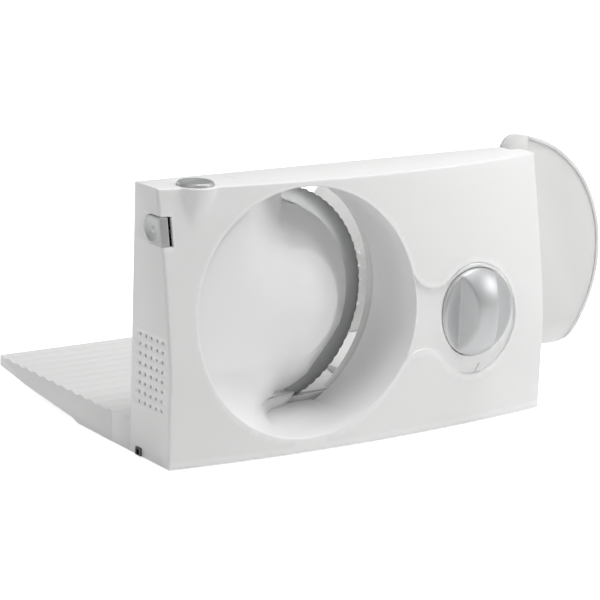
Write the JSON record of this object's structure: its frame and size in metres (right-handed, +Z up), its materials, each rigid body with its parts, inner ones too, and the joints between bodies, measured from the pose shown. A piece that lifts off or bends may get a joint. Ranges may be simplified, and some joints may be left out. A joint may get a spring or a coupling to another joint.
{
  "type": "electric food slicer",
  "caption": "Upright slicer with a serrated round blade in a deep well, a stop plate set by a knob, and a folding ribbed table with a sliding carriage and holder.",
  "frame": {"origin": "middle of the bounding box in plan, on the worktop under the feet", "axes": "+Z up, +X along the housing from the button end to the knob end, +Y from the knob side to the food table"},
  "size_m": [0.4406, 0.277, 0.2079],
  "materials": {
    "white_matte": "matte moulded white",
    "white_gloss": "glossy moulded white",
    "silver_plastic": "satin silver-grey plastic",
    "steel": "ground stainless steel",
    "dark_steel": "plain zinc-dark steel",
    "natural_plastic": "natural engineering plastic",
    "black_plastic": "matte black plastic",
    "rubber": "soft grey rubber",
    "motor_paint": "painted steel can"
  },
  "bodies": {
    "housing": {"front_shell": "white_matte", "blade_guard": "white_gloss", "rear_shell": "white_matte", "base_frame": "white_matte", "cord_gland": "black_plastic", "switch_bracket": "natural_plastic", "gear_carrier": "natural_plastic", "blade_axle": "dark_steel", "housing_screw_1": "dark_steel", "housing_screw_2": "dark_steel", "housing_screw_3": "dark_steel", "housing_screw_4": "dark_steel", "carrier_screw_1": "dark_steel", "carrier_screw_2": "dark_steel", "carrier_screw_3": "dark_steel", "foot_1": "rubber", "foot_2": "rubber", "foot_3": "rubber", "foot_4": "rubber", "hinge_pin_1": "steel", "hinge_pin_2": "steel", "motor_case": "motor_paint", "motor_cradle": "natural_plastic", "power_switch": "black_plastic", "safety_switch": "black_plastic"},
    "blade_unit": {"blade": "steel", "blade_gear": "natural_plastic", "blade_lock": "silver_plastic"},
    "rotor": {"motor_rotor": "steel"},
    "knob": {"thickness_knob": "silver_plastic", "thickness_spindle": "natural_plastic"},
    "plate": {"stop_plate": "white_matte", "guide_pin_upper": "steel", "guide_pin_lower": "steel"},
    "top_key": {"top_button": "silver_plastic", "top_button_spring": "steel"},
    "side_key": {"side_button": "silver_plastic", "side_button_spring": "steel"},
    "table_body": {"table": "white_matte", "table_pad_1": "rubber", "table_pad_2": "rubber"},
    "carriage": {"food_carriage": "white_matte"},
    "holder": {"remnant_holder": "white_matte"}
  },
  "joints": [
    {"name": "blade_spin", "type": "hinge", "parent": "housing", "child": "blade_unit", "pos_m": [-0.10576, -0.062, 0.103], "axis": [0, 1, 0], "continuous": true},
    {"name": "rotor_spin", "type": "hinge", "parent": "housing", "child": "rotor", "pos_m": [-0.15076, -0.0865, 0.103], "axis": [0, 0, 1], "continuous": true},
    {"name": "knob_turn", "type": "hinge", "parent": "housing", "child": "knob", "pos_m": [0.04574, -0.12, 0.088], "axis": [0, 1, 0], "range_deg": [0, 330]},
    {"name": "plate_slide", "type": "slide", "parent": "housing", "child": "plate", "axis": [0, -1, 0], "range_m": [0, 0.01]},
    {"name": "top_button_press", "type": "slide", "parent": "housing", "child": "top_key", "axis": [0, 0, -1], "range_m": [0, 0.003], "stiffness_N_per_m": 400, "springref_m": -0.003, "deforming": ["top_button_spring"]},
    {"name": "side_button_press", "type": "slide", "parent": "housing", "child": "side_key", "axis": [1, 0, 0], "range_m": [0, 0.0025], "stiffness_N_per_m": 400, "springref_m": -0.003, "deforming": ["side_button_spring"]},
    {"name": "table_fold", "type": "hinge", "parent": "housing", "child": "table_body", "pos_m": [0, -0.0302, 0.0209], "axis": [1, 0, 0], "range_deg": [0, 38]},
    {"name": "carriage_slide", "type": "slide", "parent": "table_body", "child": "carriage", "axis": [1, 0, 0], "range_m": [-0.2, 0]},
    {"name": "holder_slide", "type": "slide", "parent": "carriage", "child": "holder", "axis": [0, 1, 0], "range_m": [-0.1, 0]}
  ],
  "couplings": [
    {"joint": "rotor_spin", "follows": "blade_spin", "ratio": -40},
    {"joint": "plate_slide", "follows": "knob_turn", "m_per_rad": 0.0017362}
  ]
}
